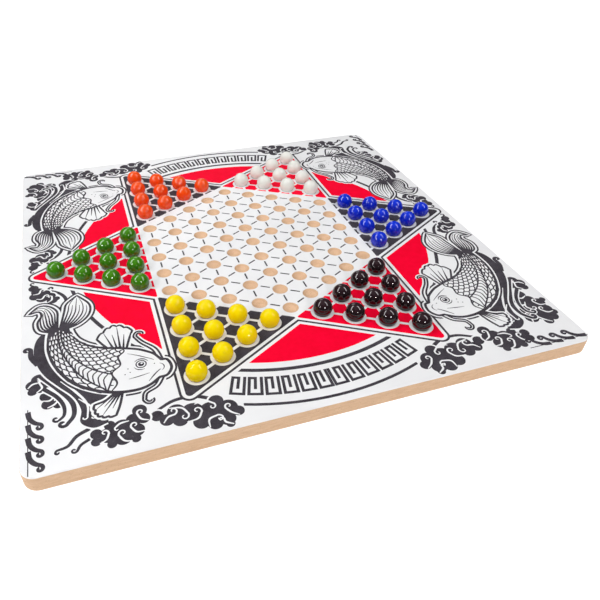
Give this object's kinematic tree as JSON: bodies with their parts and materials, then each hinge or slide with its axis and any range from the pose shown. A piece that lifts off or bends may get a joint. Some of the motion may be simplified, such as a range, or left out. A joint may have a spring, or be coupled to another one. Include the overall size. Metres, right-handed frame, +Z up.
{
  "type": "chinese checkers board",
  "caption": "Square fibreboard game board with a white printed face, dished seats laid out as a six-pointed star, and glass marbles resting in the seats of the points.",
  "frame": {"origin": "centre of the board's underside, on the table it lies on", "axes": "+Z up out of the printed face, +X along the front edge towards the blue point, +Y towards the back edge"},
  "size_m": [0.4, 0.4, 0.0238],
  "materials": {
    "fibreboard": "raw, finely sanded",
    "printed_white": "satin",
    "charcoal_ink": "printed ink, satin",
    "red_ink": "printed ink, satin",
    "blue_glass": "gloss, opaque",
    "white_glass": "gloss, opaque, milky",
    "orange_glass": "gloss, opaque",
    "green_glass": "gloss, nearly opaque",
    "yellow_glass": "gloss, opaque",
    "black_glass": "gloss, opaque"
  },
  "bodies": {
    "board": {"board_panel": "fibreboard", "printed_face": "printed_white"},
    "blue_marble_tip": {"blue_marble_tip": "blue_glass"},
    "blue_marble_pair": {"blue_marble_pair": "blue_glass"},
    "blue_marble_3a": {"blue_marble_3a": "blue_glass"},
    "blue_marble_3b": {"blue_marble_3b": "blue_glass"},
    "blue_marble_3c": {"blue_marble_3c": "blue_glass"},
    "blue_marble_4a": {"blue_marble_4a": "blue_glass"},
    "blue_marble_4b": {"blue_marble_4b": "blue_glass"},
    "blue_marble_4c": {"blue_marble_4c": "blue_glass"},
    "blue_marble_4d": {"blue_marble_4d": "blue_glass"},
    "white_marble_tip": {"white_marble_tip": "white_glass"},
    "white_marble_pair": {"white_marble_pair": "white_glass"},
    "white_marble_3a": {"white_marble_3a": "white_glass"},
    "white_marble_3b": {"white_marble_3b": "white_glass"},
    "white_marble_3c": {"white_marble_3c": "white_glass"},
    "white_marble_4a": {"white_marble_4a": "white_glass"},
    "white_marble_4b": {"white_marble_4b": "white_glass"},
    "white_marble_4c": {"white_marble_4c": "white_glass"},
    "white_marble_4d": {"white_marble_4d": "white_glass"},
    "orange_marble_tip": {"orange_marble_tip": "orange_glass"},
    "orange_marble_pair": {"orange_marble_pair": "orange_glass"},
    "orange_marble_3a": {"orange_marble_3a": "orange_glass"},
    "orange_marble_3b": {"orange_marble_3b": "orange_glass"},
    "orange_marble_3c": {"orange_marble_3c": "orange_glass"},
    "orange_marble_4a": {"orange_marble_4a": "orange_glass"},
    "orange_marble_4b": {"orange_marble_4b": "orange_glass"},
    "orange_marble_4c": {"orange_marble_4c": "orange_glass"},
    "orange_marble_4d": {"orange_marble_4d": "orange_glass"},
    "green_marble_tip": {"green_marble_tip": "green_glass"},
    "green_marble_pair": {"green_marble_pair": "green_glass"},
    "green_marble_3a": {"green_marble_3a": "green_glass"},
    "green_marble_3b": {"green_marble_3b": "green_glass"},
    "green_marble_3c": {"green_marble_3c": "green_glass"},
    "green_marble_4a": {"green_marble_4a": "green_glass"},
    "green_marble_4b": {"green_marble_4b": "green_glass"},
    "green_marble_4c": {"green_marble_4c": "green_glass"},
    "green_marble_4d": {"green_marble_4d": "green_glass"},
    "yellow_marble_tip": {"yellow_marble_tip": "yellow_glass"},
    "yellow_marble_pair": {"yellow_marble_pair": "yellow_glass"},
    "yellow_marble_3a": {"yellow_marble_3a": "yellow_glass"},
    "yellow_marble_3b": {"yellow_marble_3b": "yellow_glass"},
    "yellow_marble_3c": {"yellow_marble_3c": "yellow_glass"},
    "yellow_marble_4a": {"yellow_marble_4a": "yellow_glass"},
    "yellow_marble_4b": {"yellow_marble_4b": "yellow_glass"},
    "yellow_marble_4c": {"yellow_marble_4c": "yellow_glass"},
    "yellow_marble_4d": {"yellow_marble_4d": "yellow_glass"},
    "black_marble_tip": {"black_marble_tip": "black_glass"},
    "black_marble_pair": {"black_marble_pair": "black_glass"},
    "black_marble_3a": {"black_marble_3a": "black_glass"},
    "black_marble_3b": {"black_marble_3b": "black_glass"},
    "black_marble_3c": {"black_marble_3c": "black_glass"},
    "black_marble_4a": {"black_marble_4a": "black_glass"},
    "black_marble_4b": {"black_marble_4b": "black_glass"},
    "black_marble_4c": {"black_marble_4c": "black_glass"},
    "black_marble_4d": {"black_marble_4d": "black_glass"}
  },
  "joints": [
    {"name": "blue_marble_tip_lift", "type": "slide", "parent": "board", "child": "blue_marble_tip", "axis": [0, 0, 1], "range_m": [0, 0.04]},
    {"name": "blue_marble_pair_lift", "type": "slide", "parent": "board", "child": "blue_marble_pair", "axis": [0, 0, 1], "range_m": [0, 0.04]},
    {"name": "blue_marble_3a_lift", "type": "slide", "parent": "board", "child": "blue_marble_3a", "axis": [0, 0, 1], "range_m": [0, 0.04]},
    {"name": "blue_marble_3b_lift", "type": "slide", "parent": "board", "child": "blue_marble_3b", "axis": [0, 0, 1], "range_m": [0, 0.04]},
    {"name": "blue_marble_3c_lift", "type": "slide", "parent": "board", "child": "blue_marble_3c", "axis": [0, 0, 1], "range_m": [0, 0.04]},
    {"name": "blue_marble_4a_lift", "type": "slide", "parent": "board", "child": "blue_marble_4a", "axis": [0, 0, 1], "range_m": [0, 0.04]},
    {"name": "blue_marble_4b_lift", "type": "slide", "parent": "board", "child": "blue_marble_4b", "axis": [0, 0, 1], "range_m": [0, 0.04]},
    {"name": "blue_marble_4c_lift", "type": "slide", "parent": "board", "child": "blue_marble_4c", "axis": [0, 0, 1], "range_m": [0, 0.04]},
    {"name": "blue_marble_4d_lift", "type": "slide", "parent": "board", "child": "blue_marble_4d", "axis": [0, 0, 1], "range_m": [0, 0.04]},
    {"name": "white_marble_tip_lift", "type": "slide", "parent": "board", "child": "white_marble_tip", "axis": [0, 0, 1], "range_m": [0, 0.04]},
    {"name": "white_marble_pair_lift", "type": "slide", "parent": "board", "child": "white_marble_pair", "axis": [0, 0, 1], "range_m": [0, 0.04]},
    {"name": "white_marble_3a_lift", "type": "slide", "parent": "board", "child": "white_marble_3a", "axis": [0, 0, 1], "range_m": [0, 0.04]},
    {"name": "white_marble_3b_lift", "type": "slide", "parent": "board", "child": "white_marble_3b", "axis": [0, 0, 1], "range_m": [0, 0.04]},
    {"name": "white_marble_3c_lift", "type": "slide", "parent": "board", "child": "white_marble_3c", "axis": [0, 0, 1], "range_m": [0, 0.04]},
    {"name": "white_marble_4a_lift", "type": "slide", "parent": "board", "child": "white_marble_4a", "axis": [0, 0, 1], "range_m": [0, 0.04]},
    {"name": "white_marble_4b_lift", "type": "slide", "parent": "board", "child": "white_marble_4b", "axis": [0, 0, 1], "range_m": [0, 0.04]},
    {"name": "white_marble_4c_lift", "type": "slide", "parent": "board", "child": "white_marble_4c", "axis": [0, 0, 1], "range_m": [0, 0.04]},
    {"name": "white_marble_4d_lift", "type": "slide", "parent": "board", "child": "white_marble_4d", "axis": [0, 0, 1], "range_m": [0, 0.04]},
    {"name": "orange_marble_tip_lift", "type": "slide", "parent": "board", "child": "orange_marble_tip", "axis": [0, 0, 1], "range_m": [0, 0.04]},
    {"name": "orange_marble_pair_lift", "type": "slide", "parent": "board", "child": "orange_marble_pair", "axis": [0, 0, 1], "range_m": [0, 0.04]},
    {"name": "orange_marble_3a_lift", "type": "slide", "parent": "board", "child": "orange_marble_3a", "axis": [0, 0, 1], "range_m": [0, 0.04]},
    {"name": "orange_marble_3b_lift", "type": "slide", "parent": "board", "child": "orange_marble_3b", "axis": [0, 0, 1], "range_m": [0, 0.04]},
    {"name": "orange_marble_3c_lift", "type": "slide", "parent": "board", "child": "orange_marble_3c", "axis": [0, 0, 1], "range_m": [0, 0.04]},
    {"name": "orange_marble_4a_lift", "type": "slide", "parent": "board", "child": "orange_marble_4a", "axis": [0, 0, 1], "range_m": [0, 0.04]},
    {"name": "orange_marble_4b_lift", "type": "slide", "parent": "board", "child": "orange_marble_4b", "axis": [0, 0, 1], "range_m": [0, 0.04]},
    {"name": "orange_marble_4c_lift", "type": "slide", "parent": "board", "child": "orange_marble_4c", "axis": [0, 0, 1], "range_m": [0, 0.04]},
    {"name": "orange_marble_4d_lift", "type": "slide", "parent": "board", "child": "orange_marble_4d", "axis": [0, 0, 1], "range_m": [0, 0.04]},
    {"name": "green_marble_tip_lift", "type": "slide", "parent": "board", "child": "green_marble_tip", "axis": [0, 0, 1], "range_m": [0, 0.04]},
    {"name": "green_marble_pair_lift", "type": "slide", "parent": "board", "child": "green_marble_pair", "axis": [0, 0, 1], "range_m": [0, 0.04]},
    {"name": "green_marble_3a_lift", "type": "slide", "parent": "board", "child": "green_marble_3a", "axis": [0, 0, 1], "range_m": [0, 0.04]},
    {"name": "green_marble_3b_lift", "type": "slide", "parent": "board", "child": "green_marble_3b", "axis": [0, 0, 1], "range_m": [0, 0.04]},
    {"name": "green_marble_3c_lift", "type": "slide", "parent": "board", "child": "green_marble_3c", "axis": [0, 0, 1], "range_m": [0, 0.04]},
    {"name": "green_marble_4a_lift", "type": "slide", "parent": "board", "child": "green_marble_4a", "axis": [0, 0, 1], "range_m": [0, 0.04]},
    {"name": "green_marble_4b_lift", "type": "slide", "parent": "board", "child": "green_marble_4b", "axis": [0, 0, 1], "range_m": [0, 0.04]},
    {"name": "green_marble_4c_lift", "type": "slide", "parent": "board", "child": "green_marble_4c", "axis": [0, 0, 1], "range_m": [0, 0.04]},
    {"name": "green_marble_4d_lift", "type": "slide", "parent": "board", "child": "green_marble_4d", "axis": [0, 0, 1], "range_m": [0, 0.04]},
    {"name": "yellow_marble_tip_lift", "type": "slide", "parent": "board", "child": "yellow_marble_tip", "axis": [0, 0, 1], "range_m": [0, 0.04]},
    {"name": "yellow_marble_pair_lift", "type": "slide", "parent": "board", "child": "yellow_marble_pair", "axis": [0, 0, 1], "range_m": [0, 0.04]},
    {"name": "yellow_marble_3a_lift", "type": "slide", "parent": "board", "child": "yellow_marble_3a", "axis": [0, 0, 1], "range_m": [0, 0.04]},
    {"name": "yellow_marble_3b_lift", "type": "slide", "parent": "board", "child": "yellow_marble_3b", "axis": [0, 0, 1], "range_m": [0, 0.04]},
    {"name": "yellow_marble_3c_lift", "type": "slide", "parent": "board", "child": "yellow_marble_3c", "axis": [0, 0, 1], "range_m": [0, 0.04]},
    {"name": "yellow_marble_4a_lift", "type": "slide", "parent": "board", "child": "yellow_marble_4a", "axis": [0, 0, 1], "range_m": [0, 0.04]},
    {"name": "yellow_marble_4b_lift", "type": "slide", "parent": "board", "child": "yellow_marble_4b", "axis": [0, 0, 1], "range_m": [0, 0.04]},
    {"name": "yellow_marble_4c_lift", "type": "slide", "parent": "board", "child": "yellow_marble_4c", "axis": [0, 0, 1], "range_m": [0, 0.04]},
    {"name": "yellow_marble_4d_lift", "type": "slide", "parent": "board", "child": "yellow_marble_4d", "axis": [0, 0, 1], "range_m": [0, 0.04]},
    {"name": "black_marble_tip_lift", "type": "slide", "parent": "board", "child": "black_marble_tip", "axis": [0, 0, 1], "range_m": [0, 0.04]},
    {"name": "black_marble_pair_lift", "type": "slide", "parent": "board", "child": "black_marble_pair", "axis": [0, 0, 1], "range_m": [0, 0.04]},
    {"name": "black_marble_3a_lift", "type": "slide", "parent": "board", "child": "black_marble_3a", "axis": [0, 0, 1], "range_m": [0, 0.04]},
    {"name": "black_marble_3b_lift", "type": "slide", "parent": "board", "child": "black_marble_3b", "axis": [0, 0, 1], "range_m": [0, 0.04]},
    {"name": "black_marble_3c_lift", "type": "slide", "parent": "board", "child": "black_marble_3c", "axis": [0, 0, 1], "range_m": [0, 0.04]},
    {"name": "black_marble_4a_lift", "type": "slide", "parent": "board", "child": "black_marble_4a", "axis": [0, 0, 1], "range_m": [0, 0.04]},
    {"name": "black_marble_4b_lift", "type": "slide", "parent": "board", "child": "black_marble_4b", "axis": [0, 0, 1], "range_m": [0, 0.04]},
    {"name": "black_marble_4c_lift", "type": "slide", "parent": "board", "child": "black_marble_4c", "axis": [0, 0, 1], "range_m": [0, 0.04]},
    {"name": "black_marble_4d_lift", "type": "slide", "parent": "board", "child": "black_marble_4d", "axis": [0, 0, 1], "range_m": [0, 0.04]}
  ]
}
